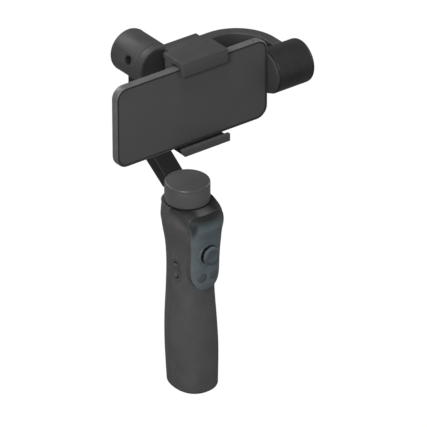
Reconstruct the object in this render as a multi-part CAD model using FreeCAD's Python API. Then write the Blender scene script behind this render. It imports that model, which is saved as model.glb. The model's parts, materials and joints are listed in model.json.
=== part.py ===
import FreeCAD, Part
import math
import os

# Hand-held three-axis gimbal stabilizer with a phone in its clamp. Millimetres.
# +Z is up, the pan axis is X = Y = 0, Z = 0 is the bottom of the handle,
# the user stands at -Y, the tilt motor is on +X and the roll motor on +Y.

Vector = FreeCAD.Vector
os.makedirs("parts", exist_ok=True)

# ---- driving dimensions ----
Z_AXIS = 270.0                 # height of the roll and tilt axes
Z_MOUTH = 167.4                # rim of the handle
WALL = 2.2                     # shell thickness
OVAL_EXPONENT = 2.3            # roundness of the handle's oval section
Y_SPLIT = -4.0                 # joint between the handle shells
R_PAN = 18.5                   # pan drum
R_ROLL = 18.1                  # roll motor
R_TILT = 18.3                  # tilt motor
Y_TILT = -18.9                 # tilt axis
R_SHAFT, R_SHAFT_BORE = 3.0, 1.4
R_BEARING = 4.5
RUN = 0.05                     # radial running clearance
END_CAP = 2.6                  # thickness of the motor end caps

AXES = {"x": Vector(1, 0, 0), "y": Vector(0, 1, 0), "z": Vector(0, 0, 1)}
TOWARD_USER = Vector(0, -1, 0)

pieces = {}


def add(name, *shapes):
    pieces.setdefault(name, []).extend(shapes)


def ends(edge):
    return edge.Vertexes[0].Point, edge.Vertexes[-1].Point


def along(edge, axes):
    """True for an open edge whose chord is parallel to one of the named axes."""
    start, end = ends(edge)
    chord = end - start
    if chord.Length < 1e-6:
        return False
    chord.normalize()
    return any(abs(chord.dot(AXES[axis])) > 0.99 for axis in axes)


def box(x0, x1, y0, y1, z0, z1, radius=0.0, axes=""):
    """Box between limits; its edges along the named axes are rounded."""
    solid = Part.makeBox(x1 - x0, y1 - y0, z1 - z0, Vector(x0, y0, z0))
    if radius:
        solid = solid.makeFillet(radius, [e for e in solid.Edges if along(e, axes)])
    return solid


def cyl(radius, length, start, axis="z"):
    return Part.makeCylinder(radius, length, Vector(*start), AXES[axis])


def tube(outer, inner, length, start, axis="z"):
    return cyl(outer, length, start, axis).cut(cyl(inner, length, start, axis))


def fuse(first, *others):
    joined = first
    for other in others:
        joined = joined.fuse(other)
    return joined.removeSplitter()


def largest(shape):
    return max(shape.Solids, key=lambda solid: solid.Volume)


def round_rim(shape, radius, axis, level):
    """Round the circular edges that lie at a level on an axis."""
    rims = [e for e in shape.Edges if e.Curve.TypeId == "Part::GeomCircle"
            and abs(getattr(e.Vertexes[0].Point, axis) - level) < 1e-3]
    return shape.makeFillet(radius, rims)


def oval_wire(z, half_width, half_depth, centre_y, exponent=OVAL_EXPONENT):
    count = 48
    points = []
    for i in range(count):
        angle = 2 * math.pi * (i + 0.5) / count
        c, s = math.cos(angle), math.sin(angle)
        x = half_width * math.copysign(abs(c) ** (2 / exponent), c)
        y = centre_y + half_depth * math.copysign(abs(s) ** (2 / exponent), s)
        points.append(Vector(x, y, z))
    # every section has the same parameters, so that the lofted face stays light
    curve = Part.BSplineCurve()
    curve.interpolate(Points=points, PeriodicFlag=True,
                      Parameters=[i / count for i in range(count + 1)])
    return Part.Wire([curve.toShape()])


def loft(rows, inset=0.0):
    wires = [oval_wire(row[0], row[1] - inset, row[2] - inset, *row[3:]) for row in rows]
    return Part.makeLoft(wires, True, False)


# ---- handle sections ----
# body knots: height, half width, half depth, centre Y
KNOTS = [
    (3.5, 18.9, 22.05, -5.95), (35, 19.65, 23.0, -5.0), (60, 19.1, 22.4, -4.0),
    (90, 17.6, 20.7, -3.45), (112, 17.5, 20.5, -3.95), (130, 18.7, 22.0, -4.7),
    (145, 21.2, 24.9, -5.6), (155, 22.6, 26.5, -6.0)]


def section_at(z):
    """Body section on the cubic Hermite curve through the knots."""
    last = len(KNOTS) - 1
    i = max(0, min(last - 1, sum(1 for knot in KNOTS if knot[0] <= z) - 1))
    span = KNOTS[i + 1][0] - KNOTS[i][0]
    t = (z - KNOTS[i][0]) / span

    def slope(n, column):
        low, high = KNOTS[max(0, n - 1)], KNOTS[min(last, n + 1)]
        return (high[column] - low[column]) / (high[0] - low[0])

    row = [z]
    for column in (1, 2, 3):
        m0, m1 = slope(i, column) * span, slope(i + 1, column) * span
        row.append((2 * t ** 3 - 3 * t ** 2 + 1) * KNOTS[i][column]
                   + (t ** 3 - 2 * t ** 2 + t) * m0
                   + (3 * t ** 2 - 2 * t ** 3) * KNOTS[i + 1][column]
                   + (t ** 3 - t ** 2) * m1)
    return tuple(row)


# same columns as the knots
FOOT = [(0, 18.1, 21.2, -5.95), (1.0, 18.65, 21.75, -5.95)]
SHOULDER = [
    (159, 22.3, 26.1, -5.8), (162, 21.9, 25.4, -5.3), (164, 21.4, 24.3, -4.4),
    (166, 20.8, 22.6, -2.6), (Z_MOUTH, 20.3, 20.8, -0.6)]
SECTION_HEIGHTS = (3.5, 8, 20, 30, 40, 50, 60, 70, 80, 90, 100, 110, 120, 130, 138, 145,
                   150, 155)
BODY = FOOT + [section_at(z) for z in SECTION_HEIGHTS] + SHOULDER
CONTROL_ROWS = [row for row in BODY if 80 <= row[0] <= 140]
CAVITY_ROWS = [row for row in BODY if 8 <= row[0] <= 164]
# the hollow runs out through the bottom of the handle
OPEN_ROWS = [(-2.0, 18.1, 21.2, -5.95), (2.0, 18.6, 21.7, -5.95)] + CAVITY_ROWS

# control plate: same columns and the exponent; the plate is flatter than the body
PLATE = [
    (94, 17.9, 20.2, -4.6, 2.45), (97, 18.5, 20.8, -5.6, 2.5),
    (100, 18.8, 20.9, -6.3, 2.55), (110, 19.1, 21.0, -6.9, 2.6),
    (120, 19.3, 21.2, -7.0, 2.6), (130, 19.9, 21.9, -6.8, 2.6),
    (140, 20.9, 23.3, -6.4, 2.55), (145, 21.6, 24.4, -6.0, 2.45),
    (150, 22.4, 25.9, -5.95, 2.35), (155, 22.85, 26.8, -6.1, 2.3),
    (159, 22.6, 26.5, -5.9, 2.3), (162, 22.1, 25.8, -5.5, 2.3),
    (164, 21.6, 24.7, -4.7, 2.3), (165.6, 21.1, 23.2, -3.1, 2.3)]
# right half of the plate's outline: X, Z
PLATE_HALF = [
    (0, 95.6), (5.5, 96.8), (10.2, 101.0), (13.3, 107.0), (14.3, 115.0), (14.6, 128.0),
    (15.3, 142.0), (17.0, 154.0), (17.4, 160.0), (14.0, 164.3), (7.0, 165.4)]
PLATE_TOP = (0, 165.5)


def plate_prism():
    """The plate's outline, extruded along Y through the front of the handle."""
    left_half = [(-x, z) for x, z in reversed(PLATE_HALF[1:])]
    curve = Part.BSplineCurve()
    curve.interpolate([Vector(x, -60, z) for x, z in PLATE_HALF + [PLATE_TOP] + left_half],
                      PeriodicFlag=True)
    return Part.Face(Part.Wire([curve.toShape()])).extrude(Vector(0, 48, 0))


# ---- handle blanks ----
DRUM_GAP = 0.35                # between the drum and its well
R_STATOR_HUB = 6.4

body = loft(BODY)
cavity = loft(OPEN_ROWS, WALL)
# body surface set in by the plate's thickness
under = loft([(90, 17.65, 20.7, -3.4)] + [row for row in BODY if row[0] > 90], 1.1)
plate = largest(loft(PLATE).common(plate_prism()).cut(under))

# the hollow stops at the floor and the wall of the well that carries the pan stator
cavity = largest(cavity.cut(cyl(20.2, 40, (0, 0, 148.0))))
drum_well = cyl(R_PAN + DRUM_GAP, 30, (0, 0, 150.5))
shell = body.cut(cavity).cut(drum_well).cut(cyl(R_STATOR_HUB + 0.15, 10, (0, 0, 145)))
shell = shell.cut(plate)
front = shell.common(box(-60, 60, -80, Y_SPLIT, -5, 200))
rear = shell.common(box(-60, 60, Y_SPLIT, 80, -5, 200))

# ---- thumbstick ----
STICK_Z = 130.0
RING_Y = -29.8                 # front face of the ring
R_RING, R_RING_IN = 9.55, 8.3
RING_DEPTH = 3.9
BALL_CENTRE = Vector(0, -23.2, STICK_Z)
R_BALL = 3.4
SEAT_HALF = 6.4

# one hole through the plate, from two overlapping lengths
stick_hole = cyl(9.6, 12, (0, -40, STICK_Z), "y").fuse(cyl(9.6, 9.5, (0, -30, STICK_Z), "y"))
plate = plate.cut(stick_hole)
front = front.cut(cyl(9.9, 26, (0, -40, STICK_Z), "y"))

ring = round_rim(tube(R_RING, R_RING_IN, RING_DEPTH, (0, RING_Y, STICK_Z), "y"),
                 0.5, "y", RING_Y)
ring_floor = tube(R_RING, 5.6, 1.2, (0, RING_Y + RING_DEPTH, STICK_Z), "y")
add("thumbstick_ring", fuse(ring, ring_floor))

# domed cap with a dished face, on a stem that ends in a ball
cap = Part.makeSphere(17.5, Vector(0, -17.3, STICK_Z))
cap = cap.common(cyl(7.8, 4.0, (0, -35.5, STICK_Z), "y"))
cap = cap.cut(Part.makeSphere(24.0, Vector(0, -57.3, STICK_Z)))
stem = cyl(1.7, 8.5, (0, -31.6, STICK_Z), "y")
stem = stem.fuse(Part.makeCone(3.4, 5.4, 4.2, Vector(0, -27.4, STICK_Z), TOWARD_USER))
add("thumbstick_cap", fuse(cap, stem, Part.makeSphere(R_BALL, BALL_CENTRE)))

seat = box(-SEAT_HALF, SEAT_HALF, -24.4, -17.6, STICK_Z - SEAT_HALF, STICK_Z + SEAT_HALF)
seat = seat.cut(Part.makeSphere(R_BALL + 0.05, BALL_CENTRE))
seat = seat.cut(Part.makeCone(0.4, 9.0, 12.0, Vector(0, -21.6, STICK_Z), TOWARD_USER))
add("thumbstick_module", seat)

# ---- buttons, light and microphone holes in the control plate ----
BUTTON_X, BUTTON_Z = 5.8, 109.0
BUTTON_Y = -27.85              # front face of the buttons
R_BUTTON = 3.95

for name, x in (("mode_button", -BUTTON_X), ("power_button", BUTTON_X)):
    plate = plate.cut(cyl(R_BUTTON + 0.1, 26, (x, -40, BUTTON_Z), "y"))
    front = front.cut(cyl(2.2, 30, (x, -44, BUTTON_Z), "y"))
    button = round_rim(cyl(R_BUTTON, 2.2, (x, BUTTON_Y, BUTTON_Z), "y"), 0.6, "y", BUTTON_Y)
    add(name, fuse(button, cyl(1.5, 6.4, (x, BUTTON_Y + 2.1, BUTTON_Z), "y")))

light = cyl(1.2, 12, (0, -36, 146.0), "y")
add("status_light", light.common(loft(PLATE)).cut(under))
plate = plate.cut(light)
mic_holes = cyl(0.6, 12, (-2.2, -36, 119.0), "y").fuse(cyl(0.6, 12, (2.2, -36, 119.0), "y"))
plate = plate.cut(mic_holes.cut(under))
add("control_plate", largest(plate))

# ---- zoom slider on the left side ----
SLIDER_Y, SLIDER_Z = -8.6, 112.0


def slider_box(x0, x1, half_y, half_z, radius):
    return box(x0, x1, SLIDER_Y - half_y, SLIDER_Y + half_y,
               SLIDER_Z - half_z, SLIDER_Z + half_z, radius, "x")


bezel_block = slider_box(-30, -10, 4.4, 11.5, 4.3)
bezel = bezel_block.common(loft(CONTROL_ROWS, -0.5)).cut(loft(CONTROL_ROWS, 3.2))
bezel = bezel.cut(slider_box(-30, -5, 2.6, 8.0, 2.5))
add("zoom_slider_bezel", largest(bezel))
front = front.cut(bezel_block)
rear = rear.cut(bezel_block)

# knob with a hollow across its outer face
knob = slider_box(-19.6, -13.2, 2.5, 6.4, 2.4)
hollow = cyl(11, 20, (-29.2, SLIDER_Y - 10, SLIDER_Z), "y")
hollow = hollow.common(box(-40, -18.8, -60, 60, SLIDER_Z - 4, SLIDER_Z + 4))
add("zoom_slider", knob.cut(hollow))

# ---- handle internals ----
CELL_Y, CELL_Z, CELL_LENGTH = -4.6, 12.0, 65.0
BOARD_Y0, BOARD_Y1 = -15.6, -14.0

add("battery_cell", cyl(9.1, CELL_LENGTH, (0, CELL_Y, CELL_Z)),
    cyl(3.0, 1.2, (0, CELL_Y, CELL_Z + CELL_LENGTH)))
# rear plate and top shelf of the holder
add("battery_holder", box(-10.5, 10.5, 5.2, 7.0, 12, 80), box(-7, 7, -14.5, 5.2, 79.2, 81.0))

# blocks on both faces of the board: X, Y and Z limits
CHIPS = [
    (-6, 2, -16.8, BOARD_Y0, 86, 94), (4, 10, -16.8, BOARD_Y0, 90, 98),
    (-9, -3, BOARD_Y1, -12.6, 104, 112), (-4, 8, BOARD_Y1, -11.0, 88, 98)]
add("main_circuit_board", box(-12.0, 12.0, BOARD_Y0, BOARD_Y1, 84.0, 128.0),
    *[box(*limits) for limits in CHIPS])
for x in (-BUTTON_X, BUTTON_X):
    add("button_switches", box(x - 3, x + 3, -18.4, BOARD_Y0, BUTTON_Z - 3, BUTTON_Z + 3))

# bottom cap around the tripod socket
R_SOCKET = 6.0
R_TRIPOD_THREAD = 3.175
bottom_cap = loft(OPEN_ROWS, WALL + 0.04).common(box(-40, 40, -60, 60, 0.0, 5.0))
add("bottom_cap", bottom_cap.cut(cyl(R_SOCKET, 8, (0, 0, -1))))
add("tripod_socket", cyl(R_SOCKET, 9.5, (0, 0, 0)).cut(cyl(R_TRIPOD_THREAD, 8.0, (0, 0, 0))))

# ---- charging port in the rear of the handle, under a flap ----
PORT_Z = 108.0


def port_box(half_x, y0, y1, half_z, radius):
    return box(-half_x, half_x, y0, y1, PORT_Z - half_z, PORT_Z + half_z, radius, "y")


port_pocket = port_box(6.5, 10, 30, 4.5, 1.5)
port = loft(CONTROL_ROWS, 1.3).common(port_pocket)
rear = rear.cut(port_pocket)
port = port.common(box(-20, 20, 12.2, 30, 60, 140))
add("charging_port", port.cut(port_box(4.5, 5, 30, 1.6, 1.5)))
flap = loft(CONTROL_ROWS, 0.05).common(port_pocket).cut(loft(CONTROL_ROWS, 1.25))
add("charging_port_cover", flap.common(port_box(6.42, 5, 40, 4.42, 1.4)))

# ---- screws joining the shells, from the rear ----
SCREW_X, SCREW_HEIGHTS = 8.6, (26.0, 92.0)
SCREW_SEAT_Y = 12.2
R_HEAD_HOLE, R_BOSS = 2.3, 3.0

for z in SCREW_HEIGHTS:
    for x in (-SCREW_X, SCREW_X):
        hole = cyl(R_HEAD_HOLE, 20, (x, SCREW_SEAT_Y, z), "y")
        rear = rear.cut(hole.fuse(cyl(1.05, 6, (x, 7.4, z), "y")))
        boss = tube(R_BOSS, 1.1, 4.6, (x, 7.8, z), "y")
        head_wall = tube(R_BOSS, R_HEAD_HOLE, 1.2, (x, SCREW_SEAT_Y, z), "y")
        rear = rear.fuse(boss.fuse(head_wall))
        head = cyl(2.2, 2.0, (x, 12.42, z), "y").cut(cyl(0.9, 1.2, (x, 13.4, z), "y"))
        add("shell_screws", fuse(head, cyl(1.0, 5.2, (x, 7.5, z), "y")))

add("handle_front_shell", largest(front.removeSplitter()))
add("handle_rear_shell", largest(rear))

# ---- pan axis ----
DRUM_Z0, DRUM_Z1, DRUM_TOP = 156.0, 181.0, 185.1
R_DRUM_IN = 16.4

add("pan_stator", fuse(tube(15.2, R_STATOR_HUB, 9.0, (0, 0, 151.6)),
                       tube(R_STATOR_HUB, R_BEARING, 12.4, (0, 0, 150.4))))
add("pan_bearing", tube(R_BEARING, R_SHAFT + RUN, 8.0, (0, 0, 152.4)))
add("pan_shaft", tube(R_SHAFT, R_SHAFT_BORE, 29.8, (0, 0, 151.2)))
add("pan_drum", fuse(tube(R_PAN, R_DRUM_IN, DRUM_Z1 - DRUM_Z0, (0, 0, DRUM_Z0)),
                     tube(R_DRUM_IN, R_SHAFT, 2.2, (0, 0, 164.6)),
                     tube(R_DRUM_IN, R_SHAFT, 2.0, (0, 0, DRUM_Z1 - 2.0))))
drum_cap = cyl(R_PAN, DRUM_TOP - DRUM_Z1, (0, 0, DRUM_Z1))
add("pan_drum_cap", round_rim(drum_cap, 1.6, "z", DRUM_TOP))

# ---- pan arm, from the drum up to the roll motor ----
ARM_WIDTH = 19.2
ARM_START_Y, ARM_BACK_Y, ARM_TOP_Z = 12.0, 66.8, 262.0
# side outline: Y, Z
ARM_OUTLINE = [
    (ARM_START_Y, 172.0), (20.5, 172.2), (43.3, 186.7), (60.0, 196.9),
    (ARM_BACK_Y, 206.0), (ARM_BACK_Y, ARM_TOP_Z), (55.8, ARM_TOP_Z), (55.8, 212.0),
    (52.0, 206.6), (31.9, 192.9), (17.8, 183.2), (ARM_START_Y, 182.2)]
ARM_BENDS = ARM_OUTLINE[3:5] + ARM_OUTLINE[7:9]


def is_bend(edge):
    point = edge.Vertexes[0].Point
    return along(edge, "x") and any(
        abs(point.y - y) + abs(point.z - z) < 0.01 for y, z in ARM_BENDS)


def is_arm_side(edge):
    """Edges of the two flat sides, apart from those at the arm's two ends."""
    start, end = ends(edge)
    return (not along(edge, "x") and abs(start.x - end.x) < 1e-6
            and min(v.Point.z for v in edge.Vertexes) <= ARM_TOP_Z - 0.1
            and max(v.Point.y for v in edge.Vertexes) >= ARM_START_Y + 0.1)


corners = [Vector(-ARM_WIDTH / 2, y, z) for y, z in ARM_OUTLINE]
arm = Part.Face(Part.makePolygon(corners + corners[:1])).extrude(Vector(ARM_WIDTH, 0, 0))
arm = arm.makeFillet(3.0, [e for e in arm.Edges if is_bend(e)])
# guards the rounding of the side edges: the arm stays sharp if it cannot be built
try:
    arm = arm.makeFillet(1.8, [e for e in arm.Edges if is_arm_side(e)])
except Exception:
    pass
arm = arm.cut(cyl(R_PAN, 60, (0, 0, 150)))
arm = arm.cut(cyl(R_ROLL, 60, (0, 30, Z_AXIS), "y"))

# wiring channel closed by a rear cover strip
COVER_Y = 64.9
arm = arm.cut(box(-5.6, 5.6, 58.6, COVER_Y, 212.0, 250.0))
arm = arm.cut(box(-6.6, 6.6, COVER_Y, 70, 210.0, 248.0, 1.5, "y"))
add("pan_arm", largest(arm))

cover = box(-6.55, 6.55, COVER_Y, ARM_BACK_Y, 210.05, 247.95, 1.45, "y")
for z in (215.0, 243.0):
    cover = cover.cut(cyl(1.6, 4, (0, 65.8, z), "y")).cut(cyl(0.8, 8, (0, 60, z), "y"))
    add("arm_cover_screws", fuse(cyl(1.55, 0.9, (0, 65.8, z), "y"),
                                 cyl(0.75, 1.2, (0, 64.7, z), "y")))
add("pan_arm_cover", cover)


def motor_end_cap(radius, lip_radius, end, place, axis):
    """Cap with a rounded outer rim and a lip that enters the housing."""
    disc = round_rim(cyl(radius, END_CAP, place(end - END_CAP), axis), 1.9, axis, end)
    return fuse(disc, tube(lip_radius, 13.5, 3.0, place(end - END_CAP - 3.0), axis))


# ---- roll axis: housing on the pan arm ----
Y_ROLL_FRONT, Y_ROLL_SEAM, Y_ROLL_END = 37.5, 44.7, 79.0
SEAM_GAP = 0.3
R_ROLL_IN, R_ROLL_STATOR = 16.2, 16.15
INSERT_RISE = math.radians(17.0)   # accessory insert, above -X


def on_roll(y):
    return (0, y, Z_AXIS)


housing = tube(R_ROLL, R_ROLL_IN, Y_ROLL_END - END_CAP - Y_ROLL_SEAM - SEAM_GAP,
               on_roll(Y_ROLL_SEAM + SEAM_GAP), "y")
housing = fuse(housing, tube(R_ROLL_IN, R_BEARING, 2.0, on_roll(56.0), "y"))
insert_dir = Vector(-math.cos(INSERT_RISE), 0, math.sin(INSERT_RISE))
insert_centre = Vector(0, 55.1, Z_AXIS)


def insert_cyl(radius, length, distance):
    """Cylinder on the insert's axis, starting at a distance from the roll axis."""
    return Part.makeCylinder(radius, length, insert_centre + insert_dir * distance, insert_dir)


insert = insert_cyl(4.15, 7.9, 10.0).common(cyl(R_ROLL - 0.15, 60, on_roll(30), "y"))
add("accessory_thread_insert", insert.cut(insert_cyl(3.175, 6.8, 11.4)))
add("roll_motor_housing", largest(housing.cut(insert_cyl(4.2, 30, 9.8))))
add("roll_motor_end_cap", motor_end_cap(R_ROLL, R_ROLL_STATOR, Y_ROLL_END, on_roll, "y"))
add("roll_stator", fuse(tube(R_ROLL_STATOR, 8.0, 10.0, on_roll(61.0), "y"),
                        tube(8.0, R_BEARING, 13.0, on_roll(58.0), "y")))
add("roll_bearing", tube(R_BEARING, R_SHAFT + RUN, 12.0, on_roll(57.0), "y"))
add("roll_shaft", tube(R_SHAFT, R_SHAFT_BORE, 30.0, on_roll(43.4), "y"))

# ---- roll rotor with the sleeve of the sliding arm ----
BAR_Y0, BAR_Y1 = 32.0, 42.0
BAR_Z0, BAR_Z1 = 256.0, 284.0
BAR_GAP = 0.03
SLEEVE_X0, SLEEVE_X1 = 6.0, 41.0
SLEEVE_WALL = 2.0
LOCK_X, LOCK_Y = 30, (BAR_Y0 + BAR_Y1) / 2


def is_sleeve_edge(edge):
    """Edges along X, and those of the front face at the sleeve's -X end."""
    start, end = ends(edge)
    front_y = BAR_Y0 - 1
    at_end = start.x < SLEEVE_X0 + 1 and start.y < front_y and end.y < front_y
    return along(edge, "x") or (along(edge, "zy") and at_end)


rotor = cyl(R_ROLL, Y_ROLL_SEAM - Y_ROLL_FRONT, on_roll(Y_ROLL_FRONT), "y")
sleeve = box(SLEEVE_X0, SLEEVE_X1, BAR_Y0 - SLEEVE_WALL, BAR_Y1 + SLEEVE_WALL,
             BAR_Z0 - SLEEVE_WALL, BAR_Z1 + SLEEVE_WALL)
sleeve = sleeve.makeFillet(1.4, [e for e in sleeve.Edges if is_sleeve_edge(e)])
bar_slot = box(SLEEVE_X0 + 2.0, 60, BAR_Y0 - BAR_GAP, BAR_Y1 + BAR_GAP,
               BAR_Z0 - BAR_GAP, BAR_Z1 + BAR_GAP)
sleeve = fuse(rotor, sleeve).cut(bar_slot).cut(cyl(R_SHAFT, 10, on_roll(43.4), "y"))
lock_hole = cyl(2.05, 10, (LOCK_X, LOCK_Y, BAR_Z0 - 6))
sleeve = sleeve.cut(lock_hole.common(box(0, 60, 20, 60, 240, BAR_Z0)))
# the front disc and its pocket stop short of the sleeve
disc_pocket = cyl(15.2, 1.2, on_roll(Y_ROLL_FRONT), "y")
sleeve = sleeve.cut(disc_pocket.common(box(-30, SLEEVE_X0 - 0.4, 30, 60, 200, 300)))
add("roll_arm_sleeve", largest(sleeve))
disc = cyl(15.15, 1.0, on_roll(Y_ROLL_FRONT + 0.2), "y")
add("roll_front_disc", disc.common(box(-30, SLEEVE_X0 - 0.5, 30, 60, 200, 300)))

# fluted lock knob under the sleeve
lock = cyl(7.5, 9.0, (LOCK_X, LOCK_Y, BAR_Z0 - SLEEVE_WALL - 9.6))
for i in range(12):
    angle = math.radians(30 * i)
    lock = lock.cut(cyl(0.9, 12, (LOCK_X + 7.6 * math.cos(angle),
                                  LOCK_Y + 7.6 * math.sin(angle), BAR_Z0 - 13)))
add("arm_lock_knob", fuse(lock, cyl(2.0, 3.4, (LOCK_X, LOCK_Y, BAR_Z0 - 3.45))))

# ---- sliding roll arm: bar, quarter bend and tail to the tilt motor ----
BEND_X, BEND_Y = 52.0, 4.0     # plan centre of the bend
BEND_OUTER, BEND_INNER = 38.0, 28.5


def is_long_rim(edge):
    """Long top and bottom edges of the bend and tail."""
    start, end = ends(edge)
    return (abs(start.z - end.z) < 1e-6
            and (abs(start.z - BAR_Z0) < 1e-6 or abs(start.z - BAR_Z1) < 1e-6)
            and min(v.Point.x for v in edge.Vertexes) > BEND_X - 0.1
            and min(v.Point.y for v in edge.Vertexes) > -7.8 and edge.Length > 12)


bend = tube(BEND_OUTER, BEND_INNER, BAR_Z1 - BAR_Z0, (BEND_X, BEND_Y, BAR_Z0))
bend = bend.common(box(BEND_X, 200, BEND_Y, 200, 200, 300))
bar = box(18.5, BEND_X, BAR_Y0, BAR_Y1, BAR_Z0, BAR_Z1)
tail = box(BEND_X + BEND_INNER, BEND_X + BEND_OUTER, Y_TILT, BEND_Y, BAR_Z0, BAR_Z1)
roll_arm = fuse(bar, bend, tail)
roll_arm = largest(roll_arm.cut(cyl(R_TILT, 80, (50, Y_TILT, Z_AXIS), "x")))
# guards the rounding of the rims: the arm stays sharp if it cannot be built
try:
    roll_arm = roll_arm.makeFillet(1.2, [e for e in roll_arm.Edges if is_long_rim(e)])
except Exception:
    pass
add("roll_arm", roll_arm)

# ---- tilt axis ----
X_TILT_IN, X_TILT_END = 65.0, 99.4
R_TILT_IN, R_TILT_STATOR = 16.4, 16.35


def on_tilt(x):
    return (x, Y_TILT, Z_AXIS)


housing = tube(R_TILT, R_TILT_IN, X_TILT_END - END_CAP - X_TILT_IN, on_tilt(X_TILT_IN), "x")
housing = fuse(housing, tube(R_TILT_IN, R_BEARING, 2.0, on_tilt(X_TILT_IN + 1.0), "x"))
# shallow pocket on the user's side for the port cover, with a slot behind it
port_recess = box(73.6, 84.4, -50, -33, 270.6, 279.4, 1.0, "y")
cover_block = box(73.65, 84.35, -50, -33, 270.65, 279.35, 0.95, "y")
cover_skin = tube(R_TILT - 0.05, R_TILT - 1.1, 60, on_tilt(50), "x")
recess_skin = tube(R_TILT + 5, R_TILT - 1.15, 60, on_tilt(50), "x")
housing = housing.cut(port_recess.common(recess_skin))
housing = housing.cut(box(76.0, 82.0, -50, -30, 273.6, 276.6))
add("tilt_motor_housing", largest(housing))
add("tilt_port_cover", cover_skin.common(cover_block))
add("tilt_motor_end_cap", motor_end_cap(R_TILT, R_TILT_STATOR, X_TILT_END, on_tilt, "x"))
add("tilt_stator", fuse(tube(R_TILT_STATOR, 8.0, 10.0, on_tilt(X_TILT_IN + 9.0), "x"),
                        tube(8.0, R_BEARING, 15.0, on_tilt(X_TILT_IN + 4.0), "x")))
add("tilt_bearing", tube(R_BEARING, R_SHAFT + RUN, 10.0, on_tilt(X_TILT_IN + 3.0), "x"))
add("tilt_shaft", tube(R_SHAFT, R_SHAFT_BORE, 26.0, on_tilt(X_TILT_IN - 1.6), "x"))

# bracket: hub disc on the tilt shaft and a bar to the clamp
HUB_X, HUB_THICK = 62.6, 2.2
CLAMP_BACK_Y = -5.0
hub = cyl(17.4, HUB_THICK, on_tilt(HUB_X), "x")
bracket = box(10.0, HUB_X + HUB_THICK, -14.4, CLAMP_BACK_Y, 259.0, 281.0, 1.5, "x")
bracket = bracket.common(fuse(box(0, HUB_X, -60, 60, 200, 300), hub))
bracket = fuse(hub, bracket).cut(cyl(R_SHAFT, 5, on_tilt(63.4), "x"))
add("clamp_bracket", largest(bracket))

# ---- phone limits ----
PHONE_LENGTH, PHONE_HEIGHT, PHONE_THICK = 147.6, 70.4, 7.3
PHONE_X, PHONE_Z = -11.5, 268.2              # centre
PHONE_X0, PHONE_X1 = PHONE_X - PHONE_LENGTH / 2, PHONE_X + PHONE_LENGTH / 2
PHONE_Y0 = -23.2                             # screen face
PHONE_Y1 = PHONE_Y0 + PHONE_THICK            # back face
PHONE_Z0, PHONE_Z1 = PHONE_Z - PHONE_HEIGHT / 2, PHONE_Z + PHONE_HEIGHT / 2

# ---- phone clamp ----
CLAMP_X0, CLAMP_X1 = -26.0, 18.6
PAD = 0.3                                    # back pad thickness
ROD_XS, ROD_Y, R_ROD = (-17.0, -3.7), -10.0, 1.55
JAW_Z0, JAW_Z1, HEEL_Z1 = 228.6, 232.2, 236.0

back_plate = box(CLAMP_X0 + 1.0, CLAMP_X1 - 1.0, PHONE_Y1 + PAD, CLAMP_BACK_Y,
                 HEEL_Z1, 296.0, 2.0, "y")
back_plate = back_plate.cut(box(9.9, 70, -14.45, -4.0, 258.95, 281.05))
for x in ROD_XS:
    back_plate = back_plate.cut(cyl(1.6, 70, (x, ROD_Y, 246.0)))
    back_plate = back_plate.cut(cyl(3.2, 30.0, (x, ROD_Y, 262.0)))
    add("clamp_guide_rods", fuse(cyl(R_ROD, 60.0, (x, ROD_Y, 248.0)),
                                 cyl(2.6, 1.2, (x, ROD_Y, 262.3))))
    # coil spring above the rod's collar
    helix = Part.makeHelix(4.0, 26.0, 2.4)
    helix.translate(Vector(x, ROD_Y, 264.6))
    wire_section = Part.Wire([Part.makeCircle(0.35, Vector(x + 2.4, ROD_Y, 264.6), AXES["y"])])
    add("clamp_springs", Part.Wire(helix.Edges).makePipeShell([wire_section], True, True))
add("clamp_back_plate", largest(back_plate))
add("back_pad", box(CLAMP_X0 + 3.0, CLAMP_X1 - 3.0, PHONE_Y1, PHONE_Y1 + PAD, 242.0, 290.0))

# lower jaw: floor, front lip and heel, the lip slanted at its -X end
LIP_X0, LIP_X1, LIP_Z1 = CLAMP_X0 - 2.5, CLAMP_X1 + 0.2, 235.4
LIP_BACK_Y = -28.8
slant_points = [Vector(x, -40, z) for x, z in (
    (LIP_X0, LIP_Z1), (LIP_X1, LIP_Z1), (LIP_X1, JAW_Z0), (CLAMP_X0 + 0.4, JAW_Z0))]
slant = Part.Face(Part.makePolygon(slant_points + slant_points[:1])).extrude(Vector(0, 60, 0))
jaw_floor = box(CLAMP_X0 - 1.5, CLAMP_X1, -31.5, CLAMP_BACK_Y, JAW_Z0, JAW_Z1, 1.0, "y")
behind_lip = box(CLAMP_X0 - 1.5, CLAMP_X1, LIP_BACK_Y, 0, 200, HEEL_Z1)
jaw_floor = jaw_floor.common(fuse(slant, behind_lip))
lip = box(LIP_X0, LIP_X1, -32.0, LIP_BACK_Y, JAW_Z0, LIP_Z1).common(slant)
heel = box(CLAMP_X0 + 1.0, CLAMP_X1 - 1.0, PHONE_Y1 + PAD, CLAMP_BACK_Y, JAW_Z1, HEEL_Z1)
add("lower_jaw", fuse(jaw_floor, lip, heel))
add("lower_jaw_pad", box(CLAMP_X0 + 1.0, CLAMP_X1 - 4.0, -28.0, PHONE_Y1 + 0.1,
                         JAW_Z1, PHONE_Z0))

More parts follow.
